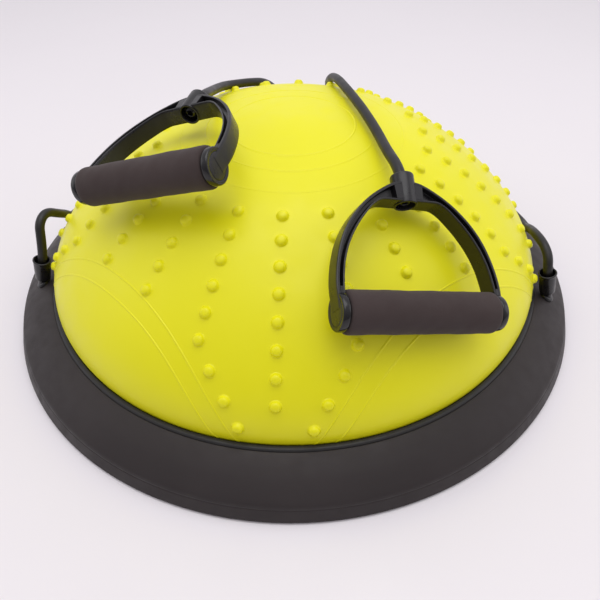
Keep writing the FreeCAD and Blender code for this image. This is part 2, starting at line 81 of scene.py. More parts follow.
def mesh_piece(name, verts, faces, smooth_deg=40.0):
    """A mesh object in the scene, with its normals outside and edges sharper than an angle kept."""
    data = bpy.data.meshes.new(name)
    data.from_pydata([tuple(v) for v in verts], [], faces)
    obj = bpy.data.objects.new(name, data)
    bpy.context.scene.collection.objects.link(obj)
    work = bmesh.new()
    work.from_mesh(data)
    bmesh.ops.remove_doubles(work, verts=work.verts, dist=WELD)
    bmesh.ops.recalc_face_normals(work, faces=work.faces)
    limit = math.radians(smooth_deg)
    for edge in work.edges:
        if len(edge.link_faces) == 2:
            edge.smooth = edge.calc_face_angle(0.0) < limit
    work.to_mesh(data)
    work.free()
    for face in data.polygons:
        face.use_smooth = True
    return obj


def grid_faces(rows, cols, close_rows=False, close_cols=True):
    """Quads of a grid of points, row after row; each way it may close on itself."""
    faces = []
    for i in range(rows if close_rows else rows - 1):
        for j in range(cols if close_cols else cols - 1):
            a = i * cols + j
            b = i * cols + (j + 1) % cols
            c = ((i + 1) % rows) * cols + (j + 1) % cols
            d = ((i + 1) % rows) * cols + j
            faces.append((a, b, c, d))
    return faces


def lathe(name, profile, steps, place=Matrix(), closed=False, smooth_deg=40.0):
    """Turns a (radius, height) profile in millimetres about the Z axis of place."""
    verts = []
    for radius, height in profile:
        for k in range(steps):
            turn = 2 * math.pi * k / steps
            point = Vector((radius * math.cos(turn), radius * math.sin(turn), height)) * MM
            verts.append(place @ point)
    faces = grid_faces(len(profile), steps, close_rows=closed)
    return mesh_piece(name, verts, faces, smooth_deg)


CORNER_SHARE = 0.49         # the most of an edge that one rounded corner may use


def rounded(points, radius, steps=4):
    """The profile with each of its inner corners rounded off by its own radius."""
    out = [points[0]]
    for before, corner, after, r in zip(points, points[1:], points[2:], radius):
        p = Vector(corner)
        a = Vector(before) - p
        b = Vector(after) - p
        cut = min(r, a.length * CORNER_SHARE, b.length * CORNER_SHARE)
        first = p + a.normalized() * cut
        last = p + b.normalized() * cut
        for k in range(steps + 1):
            t = k / steps
            q = first * (1 - t) ** 2 + p * 2 * t * (1 - t) + last * t ** 2
            out.append((q.x, q.y))
    out.append(points[-1])
    return out


# ---- bands --------------------------------------------------------------------------------
BAND_R = 4.5 * MM
BAND_SIDES = 20
LINE_DETAIL = 10            # points of the line for each control point
# the same routes as the CAD tubes, in metres: cup, fold, ring, back of the dome, over the top
ROUTES = {
    "left": [
        (-0.2549, -0.0628, 0.0508), (-0.2499, -0.0619, 0.0650), (-0.2480, -0.0555, 0.0830),
        (-0.2485, -0.0475, 0.0975), (-0.2460, -0.0330, 0.1010), (-0.2435, -0.0160, 0.0870),
        (-0.2473, 0.0050, 0.0715), (-0.2560, 0.0280, 0.0520), (-0.2600, 0.0540, 0.0420),
        (-0.2390, 0.1070, 0.0405), (-0.2110, 0.1560, 0.0405), (-0.1720, 0.1980, 0.0405),
        (-0.1290, 0.2280, 0.0405), (-0.0870, 0.2470, 0.0460), (-0.0540, 0.2415, 0.0760),
        (-0.0365, 0.2225, 0.1046), (-0.0325, 0.2000, 0.1270), (-0.0360, 0.1780, 0.1425),
        (-0.0430, 0.1580, 0.1554), (-0.0545, 0.1390, 0.1628), (-0.0675, 0.1210, 0.1682),
        (-0.0775, 0.1010, 0.1745), (-0.0810, 0.0760, 0.1822), (-0.0810, 0.0440, 0.1928)],
    "right": [
        (0.2549, -0.0628, 0.0508), (0.2511, -0.0621, 0.0650), (0.2505, -0.0540, 0.0770),
        (0.2480, -0.0400, 0.0815), (0.2465, -0.0190, 0.0780), (0.2495, 0.0050, 0.0665),
        (0.2565, 0.0300, 0.0495), (0.2585, 0.0540, 0.0420), (0.2390, 0.1070, 0.0405),
        (0.2110, 0.1560, 0.0405), (0.1720, 0.1980, 0.0405), (0.1290, 0.2280, 0.0405),
        (0.0880, 0.2470, 0.0460), (0.0580, 0.2430, 0.0755), (0.0410, 0.2235, 0.1038),
        (0.0345, 0.1985, 0.1286), (0.0330, 0.1750, 0.1469), (0.0340, 0.1520, 0.1617),
        (0.0375, 0.1280, 0.1746), (0.0430, 0.1000, 0.1832), (0.0490, 0.0720, 0.1876),
        (0.0570, 0.0420, 0.1902), (0.0670, 0.0080, 0.1907), (0.0770, -0.0280, 0.1890),
        (0.0825, -0.0560, 0.1885)],
}
BOSS_TOP = 110.3 * MM
BAND_END = 98.5 * MM
BOSS_LEAD = {"left": 4.0 * MM, "right": 5.0 * MM}
CUP_MOUTH = {"left": Vector((-0.2516, -0.0622, 0.0630)), "right": Vector((0.2516, -0.0622, 0.0630))}


def handle_place(side):
    """The handle's own frame: X along the grip, Y towards the boss, Z off the dome."""
    grip = joints["grip_spin_" + side]
    x = Vector(grip["axis"]).normalized()
    z = x.cross(Vector(joints["swivel_" + side]["axis"])).normalized()
    y = z.cross(x)
    at = Vector(grip["pos_m"])
    return Matrix((
        (x.x, y.x, z.x, at.x), (x.y, y.y, z.y, at.y), (x.z, y.z, z.z, at.z), (0, 0, 0, 1)))


def smooth_line(name, points):
    """Points read from the NURBS curve that has these control points."""
    data = bpy.data.curves.new(name, "CURVE")
    data.dimensions = "3D"
    spline = data.splines.new("NURBS")
    spline.points.add(len(points) - 1)
    for slot, point in zip(spline.points, points):
        slot.co = (point[0], point[1], point[2], 1.0)
    spline.order_u = 3
    spline.use_endpoint_u = True
    data.resolution_u = LINE_DETAIL
    obj = bpy.data.objects.new(name, data)
    bpy.context.scene.collection.objects.link(obj)
    bpy.context.view_layer.update()
    line = bpy.data.meshes.new_from_object(obj)
    path = [v.co.copy() for v in line.vertices]
    bpy.data.objects.remove(obj)
    bpy.data.curves.remove(data)
    bpy.data.meshes.remove(line)
    return path


def tube_mesh(name, path, radius, sides):
    """Round tube that follows a line of points, with closed ends and no twist."""
    tangents = []
    for i in range(len(path)):
        ahead = path[min(i + 1, len(path) - 1)] - path[max(i - 1, 0)]
        tangents.append(ahead.normalized())
    across = tangents[0].orthogonal().normalized()
    verts = []
    for i, (point, tangent) in enumerate(zip(path, tangents)):
        if i:
            across = tangents[i - 1].rotation_difference(tangent) @ across
            across = (across - tangent * across.dot(tangent)).normalized()
        other = tangent.cross(across)
        for k in range(sides):
            turn = 2 * math.pi * k / sides
            verts.append(point + (across * math.cos(turn) + other * math.sin(turn)) * radius)
    faces = grid_faces(len(path), sides)
    faces.append(tuple(range(sides)))
    last = (len(path) - 1) * sides
    faces.append(tuple(last + k for k in range(sides)))
    return mesh_piece(name, verts, faces, 60.0)


bands = {}
places = {}
for side, route in ROUTES.items():
    place = handle_place(side)
    places[side] = place
    points = [Vector(p) for p in route]
    points.append(place @ Vector((0, BOSS_TOP + BOSS_LEAD[side], 0)))
    points.append(place @ Vector((0, BAND_END, 0)))
    path = smooth_line("band_line_" + side, points)
    band = tube_mesh("resistance_band_" + side, path, BAND_R, BAND_SIDES)
    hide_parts("band_" + side, "band_tip_" + side)
    mouth = place @ Vector((0, BOSS_TOP, 0))
    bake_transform(band)
    bands[side] = band

# ---- dome ---------------------------------------------------------------------------------
DOME_R = 249.6              # millimetres, the same profile as the CAD dome
DOME_WIDE_Z = 45.8
DOME_RISE = 157.55
DOME_POWER = 1.6
PROFILE_SWEEP_DEG = 98.0     # from the top to a little under the widest place
CROWN_R = 140.0
CROWN_DROP = 15.86
SKIRT_Z = 33.6
COLUMNS = 22                # nub columns round the dome
COLUMN_DEG = 360.0 / COLUMNS
ROW_FIRST = 127.3           # first nub row, along the surface from the top
ROW_STEP = 21.19
# nubs in the straight part of each kind of column, counted from the front and the back, and the
# turns in degrees of the bent rows that follow in two kinds
STRAIGHT_ROWS = (8, 6, 5, 5, 6, 8)
BENT_ROW_FIRST = 6
BENT_TURNS = {1: (-3.4, -6.9, -9.6), 4: (3.35, 6.85, 9.55)}
SHELL_ROWS = 130
SHELL_TURNS = 240
SHELL_CURVE = 420.0         # twice the shell's radius of curvature under a nub
CIRCLES = ((59.0, 0.62), (79.3, 0.62), (104.0, 0.45))     # distance from the top and relief
CIRCLE_STEPS = 240
ARCH_CENTRES = (2.5, 8.5, 13.5, 19.5)                     # in columns from the front
ARCHES = ((215.4, 0.0530, 0.0000289), (232.3, 0.0549, 0.0000405))   # apex, spread and curl
ARCH_HALF_DEG = 34.5
ARCH_HALF_STEPS = 80
ARCH_RELIEF = 0.85
SKIRT_GAP = 0.5             # an arch stops this far above the skirt's edge


def dome_profile(count=900):
    """(radius, height, distance along the surface from the top) from the top to the skirt."""
    power = 2.0 / DOME_POWER
    points = []
    for k in range(count + 1):
        t = math.radians(90.0 - PROFILE_SWEEP_DEG * k / count)
        side = math.copysign(abs(math.sin(t)) ** power, math.sin(t))
        radius = DOME_R * max(0.0, math.cos(t)) ** power
        height = DOME_WIDE_Z + DOME_RISE * side
        height -= CROWN_DROP * max(0.0, 1.0 - (radius / CROWN_R) ** 2) ** 2
        if height < SKIRT_Z:
            break
        points.append((radius, height))
    total = 0.0
    table = [(points[0][0], points[0][1], 0.0)]
    for a, b in zip(points, points[1:]):
        total += math.hypot(b[0] - a[0], b[1] - a[1])
        table.append((b[0], b[1], total))
    return table


PROFILE = dome_profile()
SKIRT_S = PROFILE[-1][2]


def dome_frame(s, az_deg):
    """Point, outward normal, downward and sideways directions on the dome; az 0 is the front."""
    low_i = 0
    high_i = len(PROFILE) - 1
    while high_i - low_i > 1:
        mid = (low_i + high_i) // 2
        if PROFILE[mid][2] <= s:
            low_i = mid
        else:
            high_i = mid
    a = PROFILE[low_i]
    b = PROFILE[high_i]
    t = (s - a[2]) / (b[2] - a[2])
    radius = a[0] + (b[0] - a[0]) * t
    height = a[1] + (b[1] - a[1]) * t
    slope = math.atan2(b[1] - a[1], b[0] - a[0])
    az = math.radians(az_deg)
    out = Vector((math.sin(az), -math.cos(az), 0))
    side = Vector((math.cos(az), math.sin(az), 0))
    down = out * math.cos(slope) + Vector((0, 0, math.sin(slope)))
    normal = Vector((0, 0, math.cos(slope))) - out * math.sin(slope)
    point = (out * radius + Vector((0, 0, height))) * MM
    return point, normal, down, side


def nub_places():
    """(row distance, azimuth) of every nub. The pattern repeats front to back and side to side."""
    spots = []
    for column in range(COLUMNS):
        az = column * COLUMN_DEG
        near = min(az % 180.0, 180.0 - az % 180.0)
        kind = round(near / COLUMN_DEG)
        spots += [(ROW_FIRST + ROW_STEP * row, az) for row in range(STRAIGHT_ROWS[kind])]
        # away from the arches the last three nubs of these columns bend towards the next one
        sign = 1 if az % 180.0 < 90.0 else -1
        for step, shift in enumerate(BENT_TURNS.get(kind, ())):
            spots.append((ROW_FIRST + ROW_STEP * (BENT_ROW_FIRST + step), az + sign * shift))
    return spots


NUB = [(6.3, -0.40), (5.6, -0.06), (5.05, 0.25), (4.7, 0.85), (4.45, 1.6), (4.15, 2.4),
       (3.7, 3.1), (2.95, 3.65), (1.95, 3.98), (0.9, 4.10)]
NUB_SIDES = 22
NUB_TOP = 4.13
RIDGE = [(-1.25, -0.35), (-0.9, 0.10), (-0.45, 0.42), (0.0, 0.52), (0.45, 0.42), (0.9, 0.10),
         (1.25, -0.35)]


def dome_shell():
    """The smooth rubber shell."""
    verts = []
    for i in range(SHELL_ROWS + 1):
        s = SKIRT_S * (i / SHELL_ROWS)
        for k in range(SHELL_TURNS):
            verts.append(dome_frame(s, 360.0 * k / SHELL_TURNS)[0])
    return verts, grid_faces(SHELL_ROWS + 1, SHELL_TURNS)


def dome_nubs():
    """All the nubs, each standing square on the shell with a soft foot."""
    verts = []
    faces = []
    for s, az in nub_places():
        point, normal, down, side = dome_frame(s, az)
        first = len(verts)
        for radius, height in NUB:
            for k in range(NUB_SIDES):
                turn = 2 * math.pi * k / NUB_SIDES
                flat = down * math.cos(turn) + side * math.sin(turn)
                # the foot follows the shell's curve
                drop = radius * radius / SHELL_CURVE
                verts.append(point + (flat * radius + normal * (height - drop)) * MM)
        for face in grid_faces(len(NUB), NUB_SIDES):
            faces.append(tuple(first + i for i in face))
        last = first + (len(NUB) - 1) * NUB_SIDES
        verts.append(point + normal * NUB_TOP * MM)
        for k in range(NUB_SIDES):
            faces.append((last + k, last + (k + 1) % NUB_SIDES, len(verts) - 1))
    return verts, faces


def ridge(line, closed, relief):
    """A fine moulded line along places on the shell."""
    frames = [dome_frame(s, az) for s, az in line]
    verts = []
    for i, (point, normal, down, side) in enumerate(frames):
        if closed:
            ahead = frames[(i + 1) % len(frames)][0] - frames[i - 1][0]
        else:
            ahead = frames[min(i + 1, len(frames) - 1)][0] - frames[max(i - 1, 0)][0]
        across = normal.cross(ahead).normalized()
        for u, h in RIDGE:
            verts.append(point + (across * u + normal * h * relief) * MM)
    return verts, grid_faces(len(frames), len(RIDGE), close_rows=closed, close_cols=False)


def arch(apex, spread, curl):
    """One arched line, as (distance, offset in degrees) from its apex down to the skirt."""
    line = []
    for k in range(-ARCH_HALF_STEPS, ARCH_HALF_STEPS + 1):
        offset = ARCH_HALF_DEG * k / ARCH_HALF_STEPS
        s = apex + spread * offset ** 2 + curl * offset ** 4
        if s < SKIRT_S - SKIRT_GAP:
            line.append((s, offset))
    return line


def dome_lines():
    """Three circles round the top and the four double arches."""
    verts = []
    faces = []
    drawn = []
    for s, relief in CIRCLES:
        circle = [(s, 360.0 / CIRCLE_STEPS * k) for k in range(CIRCLE_STEPS)]
        drawn.append((circle, True, relief))
    for column in ARCH_CENTRES:
        centre = column * COLUMN_DEG
        for apex, spread, curl in ARCHES:
            line = [(s, centre + offset) for s, offset in arch(apex, spread, curl)]
            drawn.append((line, False, ARCH_RELIEF))
    for line, closed, relief in drawn:
        new_verts, new_faces = ridge(line, closed, relief)
        first = len(verts)
        verts += new_verts
        faces += [tuple(first + i for i in face) for face in new_faces]
    return verts, faces


dome = mesh_piece("dome_shell", *dome_shell())
nubs = mesh_piece("dome_nubs", *dome_nubs(), smooth_deg=80)
lines = mesh_piece("dome_lines", *dome_lines(), smooth_deg=80)
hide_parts("dome_membrane")
for piece in (dome, nubs, lines):
    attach(piece, "base")

# ---- cover ring and bead ------------------------------------------------------------------
RING_STEPS = 288            # steps round each turned piece
BEAD_STEPS = 240
CUP_STEPS = 48
FOOT_STEPS = 40
BOSS_STEPS = 56
DISC_STEPS = 72
CAP_STEPS = 48
BALL_STEPS = 40
ring_top = rounded(
    [(294.3, 2.0), (290.55, 13.0), (290.0, 13.6), (289.9, 14.9), (288.9, 17.2), (286.6, 19.4),
     (279.5, 25.0), (271.6, 30.2), (263.2, 34.2), (257.0, 36.5), (254.2, 37.2), (254.2, 31.0)],
    [0.5, 0.3, 0.4, 1.2, 1.6, 4, 4, 4, 2, 0.6])
ring_under = [(257.3, 31.4), (264.5, 28.9), (272.0, 24.8), (279.5, 19.6), (284.6, 15.6),
              (286.4, 13.0), (290.4, 2.0)]
ring = lathe("cover_ring", ring_top + ring_under, RING_STEPS, closed=True, smooth_deg=32)
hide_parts("base_ring")
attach(ring, "base")
bead = lathe("dome_bead", rounded(
    [(248.6, 34.0), (248.6, 38.2), (249.6, 39.1), (252.6, 38.9), (254.15, 37.6), (254.15, 34.0)],
    [0.8, 0.8, 0.8, 0.8]), BEAD_STEPS, closed=True)
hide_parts("rim_trim")
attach(bead, "base")

# ---- band cups on the ring ----------------------------------------------------------------
CUP_FOOT = Vector((0.2594, -0.0637, 0.0330))
CUP_PROFILE = [(7.1, -0.35), (7.35, -0.08), (7.75, 0.0), (8.2, -0.08), (8.6, -0.4), (8.72, -0.9),
               (8.6, -1.5), (8.28, -2.1), (8.2, -3.0), (7.4, -22.5), (7.2, -23.6), (6.6, -24.4),
               (5.6, -24.9), (4.9, -25.6), (4.8, -27.0), (4.8, -32.0), (0.5, -32.0)]
CUP_BORE = [(0.5, -19.0), (4.8, -18.0), (4.95, -10.0), (5.4, -7.0), (6.4, -2.5), (6.9, -0.9)]
FOOT_PROFILE = [(7.2, -2.0), (7.2, 0.4), (7.0, 1.2), (6.4, 1.9), (5.4, 2.3), (0.5, 2.35)]
RING_SLOPE = math.radians(31.0)


def axis_frame(at, axis):
    """Matrix with its Z along an axis and its origin at a point."""
    turn = Vector((0, 0, 1)).rotation_difference(axis.normalized()).to_matrix().to_4x4()
    return Matrix.Translation(at) @ turn


def join_pieces(name, pieces):
    """One object out of several, which are removed."""
    work = bmesh.new()
    for piece in pieces:
        work.from_mesh(piece.data)
    data = bpy.data.meshes.new(name)
    work.to_mesh(data)
    work.free()
    for piece in pieces:
        old = piece.data
        bpy.data.objects.remove(piece)
        bpy.data.meshes.remove(old)
    obj = bpy.data.objects.new(name, data)
    bpy.context.scene.collection.objects.link(obj)
    return obj


cups = {}
for side, mouth in CUP_MOUTH.items():
    sign = -1 if side == "left" else 1
    foot_at = Vector((sign * CUP_FOOT.x, CUP_FOOT.y, CUP_FOOT.z))
    outward = Vector((foot_at.x, foot_at.y, 0)).normalized()
    slope = outward * math.sin(RING_SLOPE) + Vector((0, 0, math.cos(RING_SLOPE)))
    body = lathe("cup_body", CUP_PROFILE + CUP_BORE, CUP_STEPS,
                 axis_frame(mouth, mouth - foot_at), closed=True)
    foot = lathe("cup_foot", FOOT_PROFILE, FOOT_STEPS, axis_frame(foot_at, slope))
    cup = join_pieces("band_cup_" + side, [body, foot])
    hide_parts("anchor_" + side)
    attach(cup, "base")
    cups[side] = cup

# ---- handles ------------------------------------------------------------------------------
FRAME_HALF = 7.8            # millimetres, half the frame's depth as in the CAD handle
WALL_IN = 1.7               # wall left on the inner side of the grooves
WALL_OUT = 2.5
GROOVE = 5.2
NO_GROOVE = 0.02            # the groove's depth where the frame is solid
GROOVE_FROM = 17.5          # the grooves start above the discs
GROOVE_TO = 12.6            # and end beside the boss
FRAME_STEPS = 130
SPLINE_STEPS = 24           # fine steps between two given points, before the even spacing
# outside and inside edge of the D frame, from the disc up to the boss
OUTER_EDGE = [(68.2, 1.0), (68.3, 8.0), (68.6, 15.0), (68.3, 22.5), (66.9, 32.0), (64.8, 41.0),
              (61.7, 50.5), (57.3, 60.0), (51.7, 68.8), (45.4, 76.5), (38.2, 83.7), (30.4, 89.9),
              (23.0, 94.7), (16.0, 98.6), (9.0, 101.3), (0.0, 102.5)]
INNER_EDGE = [(62.5, 3.0), (62.4, 9.0), (62.2, 17.0), (61.0, 27.0), (59.2, 36.0), (55.5, 46.8),
              (50.3, 57.0), (44.2, 66.2), (36.8, 75.2), (31.5, 80.6), (25.5, 84.4), (19.0, 85.3),
              (0.0, 85.3)]
BOSS_PROFILE = [(4.9, 105.5), (6.2, 108.6), (6.7, 109.9), (7.1, 110.3), (8.2, 110.3), (8.9, 110.0),
                (9.3, 109.3), (9.4, 108.4), (9.4, 85.5), (9.2, 84.8), (8.7, 84.5), (7.9, 84.5),
                (7.6, 84.7), (7.45, 85.2), (7.45, 94.2), (6.8, 97.0), (5.0, 98.9), (4.9, 99.9)]
# end disc: shallow dish outside with a seat for the cap, flat inside
DISC_PROFILE = [(0.4, 67.0), (10.55, 67.0), (10.55, 67.7), (10.75, 67.85), (12.0, 67.9),
                (13.3, 67.9), (13.3, 62.5), (6.0, 62.5), (0.4, 62.5)]
RIM_PROFILE = [(12.4, 67.9), (12.9, 68.15), (13.4, 68.05), (13.85, 67.6), (14.15, 66.7),
               (14.25, 64.4), (14.2, 63.3), (13.9, 62.7), (13.3, 62.4), (12.8, 62.5)]
CAP_PROFILE = [(0.3, 68.0), (6.0, 68.0), (9.2, 67.93), (10.1, 67.8), (10.4, 67.5), (10.4, 66.9),
               (0.3, 66.9)]
BALL_PROFILE = [(3.1, 98.7), (4.2, 98.9), (5.3, 97.8), (6.5, 96.0), (7.1, 94.1), (7.2, 92.6),
                (6.9, 90.8), (6.1, 89.1), (4.8, 87.7), (3.7, 86.8), (3.0, 86.6), (2.6, 86.9),
                (2.4, 87.7), (2.4, 90.2), (0.3, 90.2), (0.3, 98.7)]
BORE_PROFILE = [(7.6, 70.0), (7.6, 94.3), (6.9, 97.1), (5.1, 99.0), (5.1, 115.0)]
BORE_SIDES = 56


def spline_points(points, count):
    """Points evenly spaced along a smooth curve through the given ones."""
    fine = []
    padded = [points[0]] + list(points) + [points[-1]]
    for a, b, c, d in zip(padded, padded[1:], padded[2:], padded[3:]):
        for k in range(SPLINE_STEPS):
            t = k / SPLINE_STEPS
            fine.append(tuple(0.5 * (2 * q + (r - p) * t + (2 * p - 5 * q + 4 * r - s) * t * t
                                     + (3 * q - p - 3 * r + s) * t ** 3)
                              for p, q, r, s in zip(a, b, c, d)))
    fine.append(tuple(points[-1]))
    reach = [0.0]
    for p, q in zip(fine, fine[1:]):
        reach.append(reach[-1] + math.dist(p, q))
    out = []
    i = 0
    for k in range(count):
        want = reach[-1] * k / (count - 1)
        while i < len(fine) - 2 and reach[i + 1] < want:
            i += 1
        t = (want - reach[i]) / max(1e-9, reach[i + 1] - reach[i])
        out.append(tuple(a + (b - a) * t for a, b in zip(fine[i], fine[i + 1])))
    return out


def section(width, groove):
    """Half of the frame's H section, as (share of the width, depth) from inside to outside."""
    edge = 0.9 / width
    wall = WALL_IN / width
    rim = 1 - WALL_OUT / width
    soft = 0.5 / width
    top = FRAME_HALF
    floor = FRAME_HALF - groove
    return [(0.0, 0.0), (0.0, top - 2.2), (0.0, top - 0.9), (edge * 0.3, top - 0.26), (edge, top),
            (wall - soft, top), (wall - soft * 0.3, top - 0.15), (wall, top - 0.5),
            (wall, floor + 0.5 if groove > 1 else floor), (wall + soft, floor),
            (0.5, floor),
            (rim - soft, floor), (rim, floor + 0.5 if groove > 1 else floor),
            (rim, top - 0.5), (rim + soft * 0.3, top - 0.15), (rim + soft, top),
            (1 - edge, top), (1 - edge * 0.3, top - 0.26), (1.0, top - 0.9), (1.0, top - 2.2),
            (1.0, 0.0)]


def bore_through(obj, place):
    """Cut the hollow of the boss out of a mesh."""
    verts = []
    for radius, y in BORE_PROFILE:
        for k in range(BORE_SIDES):
            turn = 2 * math.pi * k / BORE_SIDES
            spot = Vector((radius * math.cos(turn), y, radius * math.sin(turn)))
            verts.append(place @ (spot * MM))
    faces = grid_faces(len(BORE_PROFILE), BORE_SIDES)
    last = (len(BORE_PROFILE) - 1) * BORE_SIDES
    faces.append(tuple(range(BORE_SIDES)))
    faces.append(tuple(last + k for k in range(BORE_SIDES)))
    tool = mesh_piece("bore_tool", verts, faces)
    cut = obj.modifiers.new("bore", "BOOLEAN")
    cut.operation = "DIFFERENCE"
    cut.solver = "EXACT"
    cut.object = tool
    graph = bpy.context.evaluated_depsgraph_get()
    obj.data = bpy.data.meshes.new_from_object(obj.evaluated_get(graph))
    obj.modifiers.clear()
    bpy.data.objects.remove(tool)


def handle_frame(side):
    """The D frame: a swept H section, the boss for the band and the two end discs."""
    outer = spline_points(OUTER_EDGE, FRAME_STEPS)
    inner = spline_points(INNER_EDGE, FRAME_STEPS)
    rails = list(zip(inner, outer))
    rails += [((-a[0], a[1]), (-b[0], b[1])) for a, b in reversed(rails[:-1])]
    verts = []
    cols = 0
    for a, b in rails:
        width = math.dist(a, b)
        grooved = a[1] > GROOVE_FROM and abs(a[0] + b[0]) / 2 > GROOVE_TO
        half = section(width, GROOVE if grooved else NO_GROOVE)
        loop = half + [(share, -depth) for share, depth in reversed(half[1:-1])]
        cols = len(loop)
        for share, depth in loop:
            x = a[0] + (b[0] - a[0]) * share
            y = a[1] + (b[1] - a[1]) * share
            verts.append(places[side] @ (Vector((x, y, depth)) * MM))
    faces = grid_faces(len(rails), cols)
    faces.append(tuple(range(cols)))
    faces.append(tuple((len(rails) - 1) * cols + k for k in range(cols)))
    sweep = mesh_piece("frame_sweep", verts, faces, 35)
    bore_through(sweep, places[side])
    boss_line = places[side] @ Matrix.Rotation(math.radians(-90), 4, "X")
    boss = lathe("frame_boss", BOSS_PROFILE, BOSS_STEPS, boss_line, closed=True)
    discs = []
    for sign in (-1, 1):
        turn = Matrix.Rotation(math.radians(90 * sign), 4, "Y")
        end = places[side] @ turn
        discs.append(lathe("frame_disc", DISC_PROFILE, DISC_STEPS, end, closed=True))
    return join_pieces("d_frame_" + side, [sweep, boss] + discs)


FOAM_HALF = 62.0
FOAM_R = 16.1
FOAM_END = [(10.2, 0.0), (13.2, 0.0), (14.5, 0.25), (15.35, 0.9), (15.85, 1.8), (16.05, 3.0)]
FOAM_END_LONG = 5.0
FOAM_ROWS = 70
FOAM_COLS = 96
# soft unevenness of the foam: height, phase per millimetre, waves round the grip, and start
FOAM_WAVES = ((0.11, 0.21, 2.0, 0.0), (0.09, 0.13, -3.0, 1.0), (0.05, 0.47, 5.0, 2.0))
FOAM_EVEN_R = 12.0          # the end faces are even up to this radius
FOAM_UNEVEN_OVER = 4.0      # and as uneven as the sleeve this far beyond it
FOAM_SHRINK = 0.1


def foam_grip(side):
    """Foam sleeve with soft ends and a slightly uneven, squeezed surface."""
    profile = [(r, -FOAM_HALF + x) for r, x in FOAM_END]
    start = -FOAM_HALF + FOAM_END_LONG
    for k in range(FOAM_ROWS + 1):
        profile.append((FOAM_R, start + 2 * (FOAM_HALF - FOAM_END_LONG) * k / FOAM_ROWS))
    profile += [(r, FOAM_HALF - x) for r, x in reversed(FOAM_END)]
    place = places[side]
    verts = []
    for radius, x in profile:
        share = min(1.0, max(0.0, (radius - FOAM_EVEN_R) / FOAM_UNEVEN_OVER))
        for k in range(FOAM_COLS):
            turn = 2 * math.pi * k / FOAM_COLS
            soft = 0.0
            for height, along, around, start_at in FOAM_WAVES:
                soft += height * math.sin(along * x + around * turn + start_at)
            r = radius + soft * share - FOAM_SHRINK
            verts.append(place @ (Vector((x, r * math.cos(turn), r * math.sin(turn))) * MM))
    return mesh_piece("foam_grip_" + side, verts, grid_faces(len(profile), FOAM_COLS), 50)


frames = {}
rims = {}
caps = {}
balls = {}
foams = {}
for side, place in places.items():
    frames[side] = handle_frame(side)
    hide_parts("handle_frame_" + side)
    side_rims = []
    side_caps = []
    for sign in (-1, 1):
        end = place @ Matrix.Rotation(math.radians(90 * sign), 4, "Y")
        side_rims.append(lathe("rim", RIM_PROFILE, DISC_STEPS, end, closed=True, smooth_deg=60))
        side_caps.append(lathe("cap", CAP_PROFILE, CAP_STEPS, end, closed=True))
    rims[side] = join_pieces("disc_rims_" + side, side_rims)
    caps[side] = join_pieces("end_caps_" + side, side_caps)
    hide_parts("hub_caps_" + side)
    boss_line = place @ Matrix.Rotation(math.radians(-90), 4, "X")
    balls[side] = lathe("end_ball_" + side, BALL_PROFILE, BALL_STEPS, boss_line, closed=True)
    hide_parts("band_ball_" + side)
    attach(balls[side], "band_end_" + side)
    for piece in (frames[side], rims[side], caps[side]):
        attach(piece, "handle_" + side)
    foams[side] = foam_grip(side)
    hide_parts("grip_foam_" + side)
    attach(foams[side], "grip_" + side)

# ---- floor, light -------------------------------------------------------------------------
FLOOR_HALF = 40
FLOOR_DROP = 0.0004         # keeps the floor just under the feet
floor_corners = [
    (-FLOOR_HALF, -FLOOR_HALF, 0), (FLOOR_HALF, -FLOOR_HALF, 0), (FLOOR_HALF, FLOOR_HALF, 0),
    (-FLOOR_HALF, FLOOR_HALF, 0)]
floor = mesh_piece("floor", floor_corners, [(0, 1, 2, 3)])
floor.location.z = -FLOOR_DROP

# the studio is bright above and behind, and dimmer on the side that the object faces
FRONT_DIM = (0.33, 0.32, 0.34, 1)
BACK_BRIGHT = (0.82, 0.80, 0.84, 1)
BACKDROP = (0.70, 0.68, 0.71, 1)
BRIGHT_WAY = (0.0, 0.75, 0.65)
HALF_FADE = 0.6             # the change from dim to bright spans this much on each side
world = bpy.data.worlds.new("studio")
world.use_nodes = True
bpy.context.scene.world = world
sky = world.node_tree.nodes
sky_links = world.node_tree.links
direction = sky.new("ShaderNodeTexCoord")
towards = sky.new("ShaderNodeVectorMath")
towards.operation = "DOT_PRODUCT"
towards.inputs[1].default_value = BRIGHT_WAY
sky_links.new(direction.outputs["Generated"], towards.inputs[0])
blend_sky = sky.new("ShaderNodeMapRange")
blend_sky.interpolation_type = "SMOOTHSTEP"
blend_sky.inputs["From Min"].default_value = -HALF_FADE
blend_sky.inputs["From Max"].default_value = HALF_FADE
sky_links.new(towards.outputs["Value"], blend_sky.inputs["Value"])
sky_colour = sky.new("ShaderNodeMix")
sky_colour.data_type = "RGBA"
sky_colour.inputs["A"].default_value = FRONT_DIM
sky_colour.inputs["B"].default_value = BACK_BRIGHT
sky_links.new(blend_sky.outputs["Result"], sky_colour.inputs["Factor"])
# beyond the floor's edge the camera sees an even backdrop
seen = sky.new("ShaderNodeLightPath")
backdrop = sky.new("ShaderNodeMix")
backdrop.data_type = "RGBA"
backdrop.inputs["B"].default_value = BACKDROP
sky_links.new(seen.outputs["Is Camera Ray"], backdrop.inputs["Factor"])
sky_links.new(sky_colour.outputs["Result"], backdrop.inputs["A"])
sky_links.new(backdrop.outputs["Result"], sky["Background"].inputs["Color"])


def area_light(name, at, aim, size, power):
    """Soft square light that points from one place to another."""
    data = bpy.data.lights.new(name, "AREA")
    data.size = size
    data.energy = power
    obj = bpy.data.objects.new(name, data)
    bpy.context.scene.collection.objects.link(obj)
    obj.location = at
    obj.rotation_euler = (Vector(aim) - Vector(at)).to_track_quat("-Z", "Y").to_euler()


LIGHT_AIM = (0, 0, 0.1)
